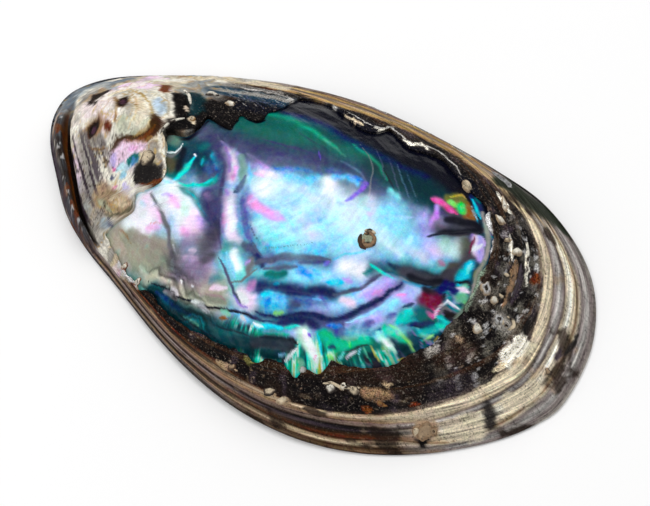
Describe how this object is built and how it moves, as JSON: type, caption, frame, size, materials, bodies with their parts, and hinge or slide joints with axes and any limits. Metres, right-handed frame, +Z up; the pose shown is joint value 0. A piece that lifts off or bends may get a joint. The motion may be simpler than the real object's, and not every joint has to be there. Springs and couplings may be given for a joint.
{
  "type": "abalone shell",
  "caption": "Ear-shaped abalone shell lying dome up, its crust worn off the top to show the nacre, with growth ledges, a low spire, a wrapped lip and a row of breathing holes.",
  "frame": {"origin": "centre of the footprint on the plane that the rim rests on", "axes": "+X from the spire to the growing edge, +Y towards the row of breathing holes, +Z up out of the dome"},
  "size_m": [0.15, 0.0903, 0.0276],
  "materials": {
    "shell": "polished nacre with a rough dark crust round it"
  },
  "bodies": {
    "root": {"shell": "shell"}
  },
  "joints": []
}
